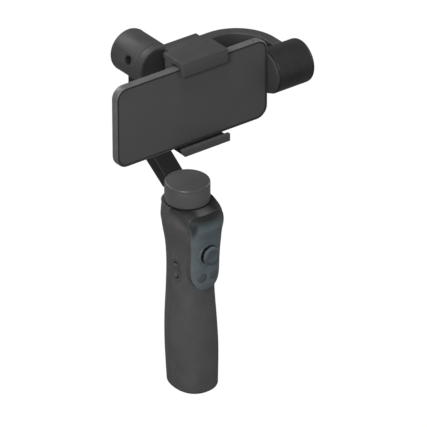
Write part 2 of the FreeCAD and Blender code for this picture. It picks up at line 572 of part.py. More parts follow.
# upper jaw: top, front lip and back web, bored for the guide rods
UPPER_X0, UPPER_X1, UPPER_Y0 = CLAMP_X0 + 0.5, CLAMP_X1 + 0.6, -28.4
UPPER_LIP_Y = -24.4
jaw_top = box(UPPER_X0, UPPER_X1, UPPER_Y0, -3.2, PHONE_Z1 + 2.0, 309.6)
jaw_top = jaw_top.makeFillet(1.6, [e for e in jaw_top.Edges if along(e, "xy")
                                   and all(point.z > 309 for point in ends(e))])
lip = box(UPPER_X0, UPPER_X1, UPPER_Y0, UPPER_LIP_Y, 297.4, 309.0)
lip = lip.makeFillet(1.0, [e for e in lip.Edges
                           if along(e, "x") and e.Vertexes[0].Point.z < 298])
web = box(CLAMP_X0 + 2.0, CLAMP_X1 - 2.0, -14.4, -5.6, 298.0, PHONE_Z1 + 2.4)
upper_jaw = fuse(jaw_top, lip, web)
for x in ROD_XS:
    upper_jaw = upper_jaw.cut(cyl(R_ROD, 12.0, (x, ROD_Y, 296.0)))
add("upper_jaw", upper_jaw)
PAD_X0, PAD_X1 = CLAMP_X0 + 2.0, CLAMP_X1 - 1.0
add("upper_jaw_pad",
    box(PAD_X0, PAD_X1, -24.0, PHONE_Y1 + 0.2, PHONE_Z1, PHONE_Z1 + 2.0),
    box(PAD_X0, PAD_X1, UPPER_LIP_Y, PHONE_Y0, 298.6, 303.0))
for z in (263.0, 277.0):
    head = cyl(1.9, 1.2, (13.0, CLAMP_BACK_Y, z), "y")
    add("bracket_screws", head.cut(cyl(0.8, 0.9, (13.0, CLAMP_BACK_Y + 0.6, z), "y")))

# ---- phone ----
PHONE_CORNER = 10.2
GLASS_Y = PHONE_Y0 + 0.9                     # back of the screen
CAMERA_FLOOR_Y = PHONE_Y1 - 1.0


def phone_slab(inset, y0, y1):
    return box(PHONE_X0 + inset, PHONE_X1 - inset, y0, y1,
               PHONE_Z0 + inset, PHONE_Z1 - inset, PHONE_CORNER - inset, "y")


def round_face(shape, radius, level):
    """Round the edges of the face at a Y level."""
    edges = [e for e in shape.Edges if all(abs(point.y - level) < 1e-6 for point in ends(e))]
    return shape.makeFillet(radius, edges)


def camera_block(y1):
    return box(PHONE_X0 + 7.0, PHONE_X0 + 27.0, CAMERA_FLOOR_Y, y1,
               PHONE_Z1 - 20.0, PHONE_Z1 - 8.0, 5.0, "y")


phone = round_face(phone_slab(0, PHONE_Y0, PHONE_Y1), 1.9, PHONE_Y1)
phone = round_face(phone, 0.8, PHONE_Y0)
phone = phone.cut(phone_slab(2.0, PHONE_Y0 - 1, GLASS_Y))
phone = phone.cut(camera_block(PHONE_Y1 + 2))
add("phone_screen", phone_slab(2.05, PHONE_Y0 + 0.1, GLASS_Y))

island = camera_block(PHONE_Y1 + 0.8)
for offset, radius in ((13.0, 4.0), (22.0, 1.4)):
    start = (PHONE_X0 + offset, PHONE_Y1 - 0.2, PHONE_Z1 - 14.0)
    island = island.cut(cyl(radius, 2, start, "y"))
    add("phone_camera_lens", cyl(radius - 0.05, 0.8, start, "y"))
add("phone_camera_island", island)

# keys in the phone's lower edge
for x0 in (PHONE_X0 + 30.0, PHONE_X0 + 42.0):
    x1 = x0 + 8.0
    phone = phone.cut(box(x0 - 0.05, x1 + 0.05, -20.95, -18.25, PHONE_Z0 - 1, PHONE_Z0 + 1.0))
    add("phone_side_keys", box(x0, x1, -20.9, -18.3, PHONE_Z0 - 0.5, PHONE_Z0 + 1.0, 1.2, "z"))
add("phone_body", largest(phone))

# ---- write ----
for name, shapes in pieces.items():
    solids = [solid for shape in shapes for solid in shape.Solids]
    piece = Part.makeCompound(solids) if len(solids) > 1 else solids[0]
    piece.exportStep("parts/%s.step" % name)
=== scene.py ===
"""A handheld phone gimbal with a phone in its clamp, dressed over its CAD pieces.

The handle stands upright about the Z axis on the floor at z = 0. The thumb stick, the
buttons and the phone's screen face -Y. The phone lies along X in front of the roll motor,
whose axis runs along Y. The tilt motor sits on the +X side with its axis along X.
Meshes are written in millimetres, everything else in metres.
"""
import bpy, bmesh, json
from math import asin, cos, pi, radians, sin, sqrt, tau
from mathutils import Vector, Matrix


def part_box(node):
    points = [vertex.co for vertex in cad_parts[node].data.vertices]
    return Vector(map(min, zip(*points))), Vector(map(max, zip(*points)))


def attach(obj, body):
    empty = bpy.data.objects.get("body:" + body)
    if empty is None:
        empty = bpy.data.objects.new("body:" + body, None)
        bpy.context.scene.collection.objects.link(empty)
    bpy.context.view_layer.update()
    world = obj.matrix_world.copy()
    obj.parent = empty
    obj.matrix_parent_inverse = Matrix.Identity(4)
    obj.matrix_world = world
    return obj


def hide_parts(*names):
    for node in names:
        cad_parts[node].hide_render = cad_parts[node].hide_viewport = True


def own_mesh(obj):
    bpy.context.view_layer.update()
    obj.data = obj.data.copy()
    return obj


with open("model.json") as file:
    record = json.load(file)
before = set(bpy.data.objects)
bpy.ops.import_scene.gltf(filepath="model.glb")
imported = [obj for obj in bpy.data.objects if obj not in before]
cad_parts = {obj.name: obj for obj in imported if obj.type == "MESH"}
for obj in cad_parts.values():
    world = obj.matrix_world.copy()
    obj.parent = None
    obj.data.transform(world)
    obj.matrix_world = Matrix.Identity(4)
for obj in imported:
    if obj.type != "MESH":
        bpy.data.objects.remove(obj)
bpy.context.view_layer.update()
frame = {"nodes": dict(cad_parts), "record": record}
scene = bpy.context.scene
nodes = frame["nodes"]

MM = 0.001
X_AXIS, Y_AXIS, Z_AXIS = (1, 0, 0), (0, 1, 0), (0, 0, 1)
AXIS_Z = 270.0   # height of the roll and tilt axes
TILT_Y = -18.9   # the tilt axis in Y
ROD_X = (-17.0, -3.7)   # the clamp's two guide rods, with a spring round each
ROD_Y = -10.0


# ------------------------------------------------------------------ materials
def add_node(tree, kind, inputs, **settings):
    """Adds a shader node; each input is given a value or a socket to link from."""
    node = tree.nodes.new("ShaderNode" + kind)
    for key, value in settings.items():
        setattr(node, key, value)
    for key, value in inputs.items():
        if isinstance(value, bpy.types.NodeSocket):
            tree.links.new(value, node.inputs[key])
        else:
            node.inputs[key].default_value = value
    return node


def finish(name, base, rough=0.5, metal=0.0, var=0.12, grain=900.0, bump=0.06, wear=0.25,
           spec=0.5, coat=0.0, streak=None, mottle=60.0, shade=None, gate=None, wedge=None):
    """A mottled, grained finish with lighter worn edges.

    var, mottle: depth and scale of the broad colour change
    grain, bump, streak: scale, relief and stretch of the fine grain
    wear: strength of the lighter edges
    shade: (z with none, z with all, colour) of a second colour blended in by height, a painted
    shade or a painted light
    gate: (x with none, x with all) limits the shade along X
    wedge: an area that opens upwards and takes the painted shade too
    """
    mat = bpy.data.materials.new(name)
    mat.use_nodes = True
    tree = mat.node_tree

    def add(kind, inputs, **settings):
        return add_node(tree, kind, inputs, **settings)

    def calc(operation, first, second):
        return add("Math", {0: first, 1: second}, operation=operation).outputs[0]

    coords = add("TexCoord", {}).outputs["Object"]
    broad = add("TexNoise", {"Scale": mottle, "Detail": 6, "Vector": coords})
    fine = add("TexNoise", {"Scale": grain, "Detail": 4, "Vector": coords})
    if streak:
        stretched = add("Mapping", {"Scale": streak, "Vector": coords})
        tree.links.new(stretched.outputs["Vector"], fine.inputs["Vector"])

    tones = add("ValToRGB", {"Fac": broad.outputs["Fac"]})
    stops = zip(tones.color_ramp.elements, (0.3, 0.7), (1 - var, 1 + var))
    for stop, position, gain in stops:
        stop.position = position
        stop.color = (*[c * gain for c in base], 1)
    grained = add("MixRGB", {"Fac": 0.10, "Color1": tones.outputs["Color"],
                             "Color2": fine.outputs["Color"]}, blend_type="OVERLAY")

    edges = add("ValToRGB", {"Fac": add("NewGeometry", {}).outputs["Pointiness"]})
    edges.color_ramp.elements[0].position = 0.53
    edges.color_ramp.elements[1].position = 0.62
    worn = calc("MULTIPLY", edges.outputs["Color"], wear)
    worn = calc("MULTIPLY", worn, broad.outputs["Fac"])
    worn_color = (*[min(1, c * 2.2 + 0.01) for c in base], 1)
    color = add("MixRGB", {"Fac": worn, "Color1": grained.outputs["Color"],
                           "Color2": worn_color})

    # painted shade or painted light: a second colour blended in by height, along X and in a wedge
    if shade:
        z_none, z_all, shade_color = shade
        place_xyz = add("SeparateXYZ", {"Vector": coords}).outputs
        amount = add("MapRange", {"From Min": z_none, "From Max": z_all,
                                  "Value": place_xyz["Z"]}).outputs["Result"]
        if gate:
            across = add("MapRange", {"From Min": gate[0], "From Max": gate[1],
                                      "Value": place_xyz["X"]})
            amount = calc("MULTIPLY", amount, across.outputs["Result"])
        if wedge:
            aside = calc("SUBTRACT", place_xyz["X"], wedge["x"])
            aside = calc("ABSOLUTE", aside, 0.0)
            above = calc("SUBTRACT", place_xyz["Z"], wedge["foot_z"])
            half_width = calc("MULTIPLY", above, wedge["spread"])
            inside = add("MapRange", {"From Min": -wedge["soft"], "From Max": wedge["soft"],
                                      "Value": calc("SUBTRACT", half_width, aside)})
            inside = calc("MULTIPLY", inside.outputs["Result"], wedge["strength"])
            amount = calc("MAXIMUM", amount, inside)
        color = add("MixRGB", {"Fac": amount, "Color1": color.outputs["Color"],
                               "Color2": (*shade_color, 1)})

    roughness = add("MapRange", {"To Min": rough - 0.07, "To Max": rough + 0.07,
                                 "Value": broad.outputs["Fac"]})
    relief = add("Bump", {"Strength": bump, "Distance": 0.0002, "Height": fine.outputs["Fac"]})

    shader = tree.nodes["Principled BSDF"].inputs
    shader["Metallic"].default_value = metal
    shader["Specular IOR Level"].default_value = spec
    shader["Coat Weight"].default_value = coat
    tree.links.new(color.outputs["Color"], shader["Base Color"])
    tree.links.new(roughness.outputs["Result"], shader["Roughness"])
    tree.links.new(relief.outputs["Normal"], shader["Normal"])
    return mat


# painted shade: the dark wedge beside the control panel's corner
SHADE_WEDGE = dict(x=-0.0148, foot_z=0.149, spread=0.42, soft=0.0020, strength=0.85)

FINISHES = {
    "handle_plastic": dict(base=(0.051, 0.0505, 0.052), rough=0.55, grain=1800, bump=0.10),
    # painted shade: the panel darkens towards its top and in the wedge, below the pan drum
    "control_plate": dict(
        base=(0.090, 0.111, 0.121), rough=0.60, grain=1500, bump=0.04, wear=0.03, spec=0.2,
        shade=(0.155, 0.163, (0.010, 0.0105, 0.011)), wedge=SHADE_WEDGE),
    "trim_dark": dict(base=(0.016, 0.016, 0.0165), rough=0.55, grain=1500),
    "inner_plastic": dict(base=(0.10, 0.10, 0.10), rough=0.5),
    "button_plastic": dict(base=(0.060, 0.074, 0.080), rough=0.55, spec=0.25, grain=1600),
    "rubber_black": dict(base=(0.018, 0.018, 0.018), rough=0.85, grain=2200, bump=0.2, spec=0.25),
    "status_glass": dict(base=(0.05, 0.065, 0.07), rough=0.2, coat=0.5),
    "battery_wrap": dict(base=(0.05, 0.18, 0.36), rough=0.3),
    "circuit_board": dict(base=(0.01, 0.10, 0.04), rough=0.4, mottle=400),
    "brass_insert": dict(base=(0.60, 0.42, 0.16), rough=0.32, metal=1.0, streak=(1, 1, 30)),
    "steel": dict(base=(0.50, 0.50, 0.52), rough=0.3, metal=1.0, streak=(1, 1, 25)),
    "black_steel": dict(base=(0.035, 0.035, 0.038), rough=0.4, metal=0.6),
    "stator_steel": dict(base=(0.25, 0.16, 0.11), rough=0.45, metal=0.7, streak=(1, 60, 1)),
    "arm_metal": dict(base=(0.037, 0.0366, 0.0366), rough=0.52, spec=0.35, grain=2400,
                      bump=0.07, wear=0.3),
    "clamp_plastic": dict(base=(0.030, 0.0297, 0.0297), rough=0.5, grain=2000, bump=0.10),
    "phone_frame": dict(base=(0.115, 0.115, 0.116), rough=0.42, metal=0.3, grain=2500, bump=0.03),
    "phone_glass": dict(base=(0.058, 0.058, 0.058), rough=0.6, grain=2500, bump=0.01, var=0.03,
                        spec=0.25, wear=0.0),
    "lens_glass": dict(base=(0.01, 0.01, 0.016), rough=0.12, coat=1.0),
    # lit and shaded copies of materials for single pieces: a little lighter or darker, with
    # painted light and painted shade
    # painted light and shade: a lighter copy of the handle plastic, with painted shade on the
    # shoulder below the drum and in the wedge
    "handle_plastic_front_lit_shaded": dict(
        base=(0.066, 0.0655, 0.068), rough=0.60, grain=1800, bump=0.10, spec=0.25,
        shade=(0.152, 0.162, (0.010, 0.010, 0.0103)), gate=(0.000, 0.009), wedge=SHADE_WEDGE),
    # painted light and shadow: a lighter copy of the arm metal, with a painted shadow band at the
    # drum's foot above the rim
    "arm_metal_drum_lit_shadowed": dict(
        base=(0.066, 0.0655, 0.0655), rough=0.42, grain=2400, bump=0.07, wear=0.3,
        shade=(0.1690, 0.1682, (0.006, 0.006, 0.006))),
    # painted shadow: a darker copy of the arm metal for the pan arm, where the phone shades it
    "arm_metal_arm_shadowed": dict(base=(0.007, 0.0069, 0.0069), rough=0.48, spec=0.3, grain=2400,
                          bump=0.07, wear=0.04),
    # painted shade: a darker copy of the arm metal for the tilt motor and its cap, on their side
    # turned from the light
    "arm_metal_tilt_shaded": dict(base=(0.012, 0.0118, 0.0118), rough=0.46, spec=0.35, grain=2400,
                           bump=0.07, wear=0.3),
    # painted light: the hook's front face, below its top, is painted lighter than the top
    "clamp_plastic_hook_lit_face": dict(
        base=(0.031, 0.0307, 0.0307), rough=0.52, grain=2000, bump=0.10, wear=0.0,
        shade=(0.3092, 0.3082, (0.044, 0.0436, 0.0436))),
    # painted light: a lighter copy of the clamp plastic for the lower jaw's lip
    "clamp_plastic_jaw_lit": dict(base=(0.040, 0.0396, 0.0396), rough=0.52, grain=2000, bump=0.10),
    # painted shade: the jaw's floor and its pad are painted near black, as they lie in shade under
    # the phone
    "clamp_plastic_recess_shaded": dict(base=(0.006, 0.006, 0.006), rough=0.7, grain=2000, bump=0.10,
                                 spec=0.1, wear=0.0),
}
MATS = {name: finish(name, **look) for name, look in FINISHES.items()}

SLOTS = {part["node"]: part["material_slot"] for part in frame["record"]["subparts"]}


def smooth(mesh):
    mesh.polygons.foreach_set("use_smooth", [True] * len(mesh.polygons))


def keep_sharp(obj, degrees):
    obj.modifiers.new("sharp", "EDGE_SPLIT").split_angle = radians(degrees)


for name, obj in nodes.items():
    obj.data.materials.clear()
    obj.data.materials.append(MATS[SLOTS[name]])
    smooth(obj.data)
    obj.modifiers.new("weld", "WELD").merge_threshold = 1e-6
    keep_sharp(obj, 28)


# ------------------------------------------------------------------ mesh helpers
def place(axis, along, first, second):
    """A point at `along` on one axis and at first, second on the other two, in order."""
    point = [first, second]
    point.insert(axis, along)
    return point


def rounded_rect(x0, x1, y0, y1, radius, seg):
    corners = ((x1 - radius, y1 - radius), (x0 + radius, y1 - radius),
               (x0 + radius, y0 + radius), (x1 - radius, y0 + radius))
    points = []
    for quarter, (cx, cy) in enumerate(corners):
        for k in range(seg + 1):
            t = radians(90 * quarter + 90.0 * k / seg)
            points.append((cx + radius * cos(t), cy + radius * sin(t)))
    return points


def turned_ring(at, axis, height, radii):
    """Points round an axis, one for each radius."""
    across = axis.orthogonal().normalized()
    side = axis.cross(across)
    ring = []
    for j, radius in enumerate(radii):
        t = tau * j / len(radii)
        ring.append(at + axis * height + (across * cos(t) + side * sin(t)) * radius)
    return ring


def fillet(radius, height, size):
    """A quarter round in a turned profile, from its outer side to its top."""
    turns = [radians(t) for t in range(0, 91, 15)]
    return [(radius + size * cos(t), height + size * sin(t)) for t in turns]


class Solid:
    """Vertices in millimetres and faces; each method adds one closed shape."""

    def __init__(self):
        self.verts, self.faces = [], []

    def add_rings(self, rings):
        start = len(self.verts)
        for ring in rings:
            self.verts.extend(tuple(float(c) for c in point) for point in ring)
        return start, len(rings[0])

    def rings(self, rings):
        """Rings joined in a row and capped at both ends."""
        start, n = self.add_rings(rings)
        for i in range(len(rings) - 1):
            for j in range(n):
                a, b = start + i * n + j, start + i * n + (j + 1) % n
                self.faces.append((a, b, b + n, a + n))
        last = start + (len(rings) - 1) * n
        self.faces.append(tuple(start + j for j in reversed(range(n))))
        self.faces.append(tuple(last + j for j in range(n)))
        return self

    def loop_rings(self, rings):
        """Rings joined head to tail: a ring-shaped solid."""
        start, n = self.add_rings(rings)
        for i in range(len(rings)):
            row, next_row = start + i * n, start + (i + 1) % len(rings) * n
            for j in range(n):
                j2 = (j + 1) % n
                self.faces.append((row + j, row + j2, next_row + j2, next_row + j))
        return self

    def lathe(self, profile, axis, at=(0, 0, 0), seg=72, ripple=None):
        """Turns (radius, height) pairs; a profile that starts off the axis is closed."""
        rings = []
        for radius, height in profile:
            radius = max(radius, 1e-3)
            radii = [radius + (ripple(tau * j / seg, radius, height) if ripple else 0.0)
                     for j in range(seg)]
            rings.append(turned_ring(Vector(at), Vector(axis), height, radii))
        return self.loop_rings(rings) if profile[0][0] > 0 else self.rings(rings)

    def box(self, lo, hi, radius, axis=2, seg=5, edge=0.0):
        """A box with round corners about one axis and soft edges at that axis's ends."""
        a, b = [i for i in range(3) if i != axis]

        def ring(along, inset):
            outline = rounded_rect(lo[a] + inset, hi[a] - inset, lo[b] + inset, hi[b] - inset,
                                   radius - inset, seg)
            return [place(axis, along, u, v) for u, v in outline]

        soft = [(0, 0)]
        if edge:
            turns = [pi / 2 * k / 3 for k in range(4)]
            soft = [(edge * (1 - cos(t)), edge * (1 - sin(t))) for t in turns]
        return self.rings([ring(lo[axis] + depth, inset) for depth, inset in soft]
                          + [ring(hi[axis] - depth, inset) for depth, inset in reversed(soft)])

    def extrude(self, outline, axis, lo, hi):
        return self.rings([[place(axis, along, u, v) for u, v in outline] for along in (lo, hi)])

    def tube(self, path, radius, seg):
        """A round wire along a path that is nowhere vertical."""
        path = [Vector(p) for p in path]
        rings = []
        for i, p in enumerate(path):
            ahead = (path[min(i + 1, len(path) - 1)] - path[max(i - 1, 0)]).normalized()
            side = ahead.cross(Vector(Z_AXIS)).normalized()
            top = side.cross(ahead)
            turns = [tau * k / seg for k in range(seg)]
            rings.append([p + (side * cos(t) + top * sin(t)) * radius for t in turns])
        return self.rings(rings)


def make(name, solid, slot, body, *replaced, split=32.0, bevel=0.0):
    """Makes the object, fixes it to its body and stands it in for the replaced pieces."""
    mesh = bpy.data.meshes.new(name)
    mesh.from_pydata([(x * MM, y * MM, z * MM) for x, y, z in solid.verts], [], solid.faces)
    bm = bmesh.new()
    bm.from_mesh(mesh)
    bmesh.ops.remove_doubles(bm, verts=bm.verts, dist=2e-6)
    bmesh.ops.recalc_face_normals(bm, faces=bm.faces)
    bm.to_mesh(mesh)
    bm.free()
    smooth(mesh)
    mesh.materials.append(MATS[slot])
    obj = bpy.data.objects.new(name, mesh)
    scene.collection.objects.link(obj)
    if bevel:
        add_bevel(obj, width=bevel * MM, segments=3, degrees=40)
    keep_sharp(obj, split)
    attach(obj, body)
    if replaced:
        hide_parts(*replaced)
    return obj


def add_bevel(obj, width, segments, degrees):
    bevel = obj.modifiers.new("round", "BEVEL")
    bevel.width, bevel.segments = width, segments
    bevel.limit_method, bevel.angle_limit = "ANGLE", radians(degrees)


def box_mm(node):
    return [[v / MM for v in corner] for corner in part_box(node)]


# ------------------------------------------------------------------ pan drum
# profiles here and below: (radius, place along the axis)
DRUM_WALL = [(18.2, 156.0), (18.5, 156.4), (18.5, 180.85), (18.4, 181.0), (16.4, 181.0),
             (16.4, 156.0)]
DRUM_TOP = [(0, 181.02), (18.4, 181.02), (18.5, 181.15), *fillet(16.9, 183.5, 1.6),
            (14.3, 185.1), (8.0, 185.1), (2.4, 185.1), (2.2, 184.95), (0, 184.95)]
WEB_OUTER, WEB_BORE = 16.6, 3.02
drum = Solid().lathe(DRUM_WALL, Z_AXIS, seg=112)
for low, high in ((164.6, 166.8), (179.0, 180.9)):
    drum.lathe([(WEB_OUTER, low), (WEB_BORE, low), (WEB_BORE, high), (WEB_OUTER, high)],
               Z_AXIS, seg=64)
make("pan_drum_wall", drum, "arm_metal", "pan_frame", "pan_drum")
make("pan_drum_top", Solid().lathe(DRUM_TOP, Z_AXIS, seg=112), "arm_metal", "pan_frame",
     "pan_drum_cap")


# ------------------------------------------------------------------ motor end caps
def end_cap(name, node, body, at, axis, end):
    """A cap with a spigot, a rounded rim, a shallow groove and a sunk middle."""
    seam = end - 2.6
    profile = [(0, seam + 0.4), (13.5, seam + 0.4), (13.5, seam - 2.9), (16.1, seam - 2.9),
               (16.1, seam + 0.1), (18.0, seam + 0.1), (18.25, seam + 0.35),
               *fillet(16.2, end - 1.95, 1.95),
               (14.6, end), (14.4, end - 0.25), (13.9, end - 0.25), (13.7, end),
               (5.2, end), (5.0, end - 0.35), (0, end - 0.35)]
    make(name, Solid().lathe(profile, axis, at, 112), "arm_metal", body, node)


end_cap("roll_motor_back_cap", "roll_motor_end_cap", "pan_frame", (0, 0, AXIS_Z), Y_AXIS,
        end=79.0)
end_cap("tilt_motor_outer_cap", "tilt_motor_end_cap", "sliding_arm", (0, TILT_Y, AXIS_Z), X_AXIS,
        end=99.4)

# ------------------------------------------------------------------ sliding roll arm
# a straight bar along X, then a quarter bend towards -Y that ends on the tilt motor
ARM_OUTER, ARM_INNER = 38.0, 28.0   # faces of the band, from the centre of the bend
ARM_THICKENING = 0.5                # taken off the inner radius's gap over the first bend steps
ARM_HALF_HEIGHT, ARM_CORNER = 14.0, 1.3
BEND_X, BEND_Y, BEND_STEPS = 52.0, 4.0, 24
MOTOR_SEAT_R = 18.3                 # round end that fits the tilt motor
BAR_STATIONS = (18.5, 19.0, 24, 32, 40, 46, BEND_X)


def arm_section(x, normal, inner, on_motor=False):
    points = []
    for out, z in rounded_rect(inner, ARM_OUTER, AXIS_Z - ARM_HALF_HEIGHT,
                               AXIS_Z + ARM_HALF_HEIGHT, ARM_CORNER, 4):
        point = Vector((x + normal[0] * out, BEND_Y + normal[1] * out, z))
        if on_motor:
            point.y = TILT_Y + sqrt(MOTOR_SEAT_R ** 2 - (z - AXIS_Z) ** 2) - 0.25
        points.append(point)
    return points


sections = [arm_section(x, (0, 1), ARM_INNER) for x in BAR_STATIONS]
for k in range(1, BEND_STEPS + 1):
    t = radians(90 - 90.0 * k / BEND_STEPS)
    inner = ARM_INNER + ARM_THICKENING * min(1.0, k / 4.0)
    sections.append(arm_section(BEND_X, (cos(t), sin(t)), inner))
sections.append(arm_section(BEND_X, (1, 0), ARM_INNER + ARM_THICKENING, on_motor=True))
make("roll_arm_band", Solid().rings(sections), "arm_metal", "sliding_arm", "roll_arm", split=40)

# ------------------------------------------------------------------ arm lock knob
# domed foot, fluted rim and a stud
KNOB = [(0, 244.4), (5.4, 244.4), (5.7, 244.7), (6.6, 244.7), (7.2, 245.0), (7.5, 245.6),
        (7.5, 246.4), (7.5, 251.6), (7.2, 252.5), (6.4, 253.3), (4.0, 253.4), (4.0, 253.9),
        (2.0, 253.9), (2.0, 255.9), (0, 255.9)]
FLUTES, FLUTE_DEPTH = 24, 0.7


def flutes(t, radius, z):
    on_rim = radius > 6.0 and 245.5 <= z <= 251.8
    return -FLUTE_DEPTH * max(0.0, cos(FLUTES * t)) ** 2 if on_rim else 0.0


make("arm_lock_knob_fluted", Solid().lathe(KNOB, Z_AXIS, (30, 37, 0), 144, flutes), "trim_dark",
     "arm_lock", "arm_lock_knob")

# ------------------------------------------------------------------ thumb stick
STICK_AT = (0, 0, 130.0)
# dished cap with a ridged rim, then the stem and the ball behind it
STICK = [(0, -33.3), (1.5, -33.35), (3.0, -33.5), (4.4, -33.7), (5.0, -33.85), (5.5, -33.9),
         (6.1, -33.8), (6.9, -33.45), (7.5, -32.9), (7.8, -32.4), (7.75, -31.8), (7.4, -31.55),
         (5.6, -31.5), (5.0, -31.0), (4.2, -29.4), (3.6, -27.9), (3.3, -27.45),
         (1.7, -27.4), (1.7, -26.4), (2.6, -25.4), (3.2, -24.4), (3.4, -23.2), (3.1, -21.8),
         (2.2, -20.6), (0, -19.85)]
STICK_RING = [(9.55, -29.3), (9.4, -29.65), (9.0, -29.8), (8.75, -29.75), (8.4, -29.45),
              (8.3, -29.0), (8.3, -25.9), (5.6, -25.9), (5.6, -24.7), (9.55, -24.7)]
GRIP_RIDGES, GRIP_RELIEF = 40, 0.16


def grip(t, radius, y):
    return GRIP_RELIEF * cos(GRIP_RIDGES * t) if radius > 7.3 and -33.2 < y < -31.7 else 0.0


make("thumbstick_dished_cap", Solid().lathe(STICK, Y_AXIS, STICK_AT, 240, grip),
     "button_plastic", "thumbstick", "thumbstick_cap", split=50)
make("thumbstick_trim_ring", Solid().lathe(STICK_RING, Y_AXIS, STICK_AT, 96), "control_plate",
     "handle", "thumbstick_ring")

# ------------------------------------------------------------------ buttons
BUTTON_Z, FACE_Y = 109.0, -27.85
BUTTON_X = 5.8   # either side of the middle
# (radius, depth behind the face): crowned face, then the stem
BUTTON = [(0, 0), (2.6, 0.02), (3.3, 0.12), (3.75, 0.4), (3.95, 0.9), (3.95, 2.2), (1.5, 2.2),
          (1.5, 8.5), (0, 8.5)]
MARK_FRONT, MARK_ROOT = FACE_Y - 0.12, FACE_Y + 0.1   # marks stand proud of the face


def crowned_button(x):
    profile = [(radius, FACE_Y + depth) for radius, depth in BUTTON]
    return Solid().lathe(profile, Y_AXIS, (x, 0, BUTTON_Z))


# mode button: a rounded plate with a small stud on it
x = -BUTTON_X
button = crowned_button(x)
button.box((x - 1.5, MARK_FRONT, 107.9), (x + 1.5, MARK_ROOT, 110.1), 0.5, axis=1)
button.box((x - 0.55, FACE_Y - 0.2, 108.5), (x + 0.55, MARK_ROOT, 109.5), 0.5, axis=1)
make("mode_button_crowned", button, "button_plastic", "mode_button", "mode_button")

# power button: a ring with an upright bar
x = BUTTON_X
button = crowned_button(x)
button.lathe([(1.5, MARK_FRONT), (1.5, MARK_ROOT), (1.15, MARK_ROOT), (1.15, MARK_FRONT)],
             Y_AXIS, (x, 0, BUTTON_Z), 40)
button.box((x - 0.2, FACE_Y - 0.14, 109.3), (x + 0.2, MARK_ROOT, 111.0), 0.18, axis=1)
make("power_button_crowned", button, "button_plastic", "power_button", "power_button")

# ------------------------------------------------------------------ zoom slider
# a rocker on the -X side with a hollow and cross ridges
SLIDER_Y, SLIDER_Z, SLIDER_HALF = -8.6, 112.0, 6.4
SLIDER_FACE_X, SLIDER_ROOT_X = -19.6, -13.2
SLIDER_HALF_WIDTH, SLIDER_STEPS = 2.5, 24


def slider_x(z):
    t = (z - SLIDER_Z) / SLIDER_HALF
    hollow = 1.0 * max(0.0, 1 - (t / 0.62) ** 2)
    return SLIDER_FACE_X + hollow + (0.45 if abs(t) > 0.93 else 0.0)


sections = []
for k in range(SLIDER_STEPS + 1):
    z = SLIDER_Z - SLIDER_HALF + 2 * SLIDER_HALF * k / SLIDER_STEPS
    t = abs(z - SLIDER_Z) / SLIDER_HALF
    half = SLIDER_HALF_WIDTH * (1 - max(0, (t - 0.62) / 0.38) ** 2.2 * 0.75)
    face = slider_x(z) + (0.16 if k % 3 == 1 and t < 0.6 else 0.0)
    side = [(SLIDER_ROOT_X, half), (face + 0.9, half), (face + 0.25, half * 0.86),
            (face, half * 0.5)]
    sections.append([(x, SLIDER_Y + width, z) for x, width in side]
                    + [(x, SLIDER_Y - width, z) for x, width in reversed(side)])
make("zoom_slider_rocker", Solid().rings(sections), "handle_plastic", "zoom_slider",
     "zoom_slider")


# ------------------------------------------------------------------ screws
def socket_screws(name, node, body, spots, head_r, head_h, shank_r, shank_len, socket):
    """Screws along Y, heads towards +Y, each with a six-sided socket of the given depth."""
    socket_r, points = shank_r * 0.62, 48
    turns = [tau * j / points for j in range(points)]
    hexagon = [socket_r * cos(pi / 6) / cos((t % (pi / 3)) - pi / 6) for t in turns]
    stations = [(head_h - socket, [0.002] * points), (head_h - socket, hexagon),
                (head_h - 0.02, hexagon)]
    stations += [(height, [radius] * points) for height, radius in (
        (head_h, shank_r * 0.72), (head_h, head_r - 0.25), (head_h - 0.25, head_r),
        (0.0, head_r), (0.0, shank_r), (-shank_len, shank_r), (-shank_len, 0.002))]
    solid = Solid()
    for at in spots:
        solid.rings([turned_ring(Vector(at), Vector(Y_AXIS), height, radii)
                     for height, radii in stations])
    make(name, solid, "steel", body, node)


socket_screws("shell_screws_socket", "shell_screws", "handle",
              [(x, 12.42, z) for z in (26.0, 92.0) for x in (-8.6, 8.6)],
              head_r=2.2, head_h=2.0, shank_r=1.0, shank_len=4.8, socket=1.2)
socket_screws("arm_cover_screws_socket", "arm_cover_screws", "pan_frame",
              [(0, 65.8, z) for z in (215.0, 243.0)],
              head_r=1.55, head_h=0.9, shank_r=0.75, shank_len=1.1, socket=0.5)
socket_screws("bracket_screws_socket", "bracket_screws", "tilt_frame",
              [(13.0, -5.0, z) for z in (263.0, 277.0)],
              head_r=1.9, head_h=1.2, shank_r=1.0, shank_len=0.01, socket=0.8)

# ------------------------------------------------------------------ clamp springs
# coils with closed ends; the jaw slide presses or stretches the real springs, these keep one
# length
COILS, COIL_STEPS, COIL_R, WIRE_R = 8, 24, 2.4, 0.35
SPRING_FOOT, SPRING_LENGTH = 264.6, 26.0
rise = [0.0]   # unscaled climb, slower near both ends
for k in range(COILS * COIL_STEPS):
    turn = k / COIL_STEPS
    from_end = min(turn, COILS - turn)
    rise.append(rise[-1] + 0.28 + 0.72 * min(1.0, max(0.0, (from_end - 0.7) / 0.5)))
springs = Solid()
for x in ROD_X:
    path = []
    for k, climb in enumerate(rise):
        t = tau * k / COIL_STEPS
        path.append((x + COIL_R * cos(t), ROD_Y + COIL_R * sin(t),
                     SPRING_FOOT + SPRING_LENGTH * climb / rise[-1]))
    springs.tube(path, WIRE_R, 8)
springs = make("clamp_springs_closed_end", springs, "steel", "tilt_frame", "clamp_springs")
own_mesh(springs)


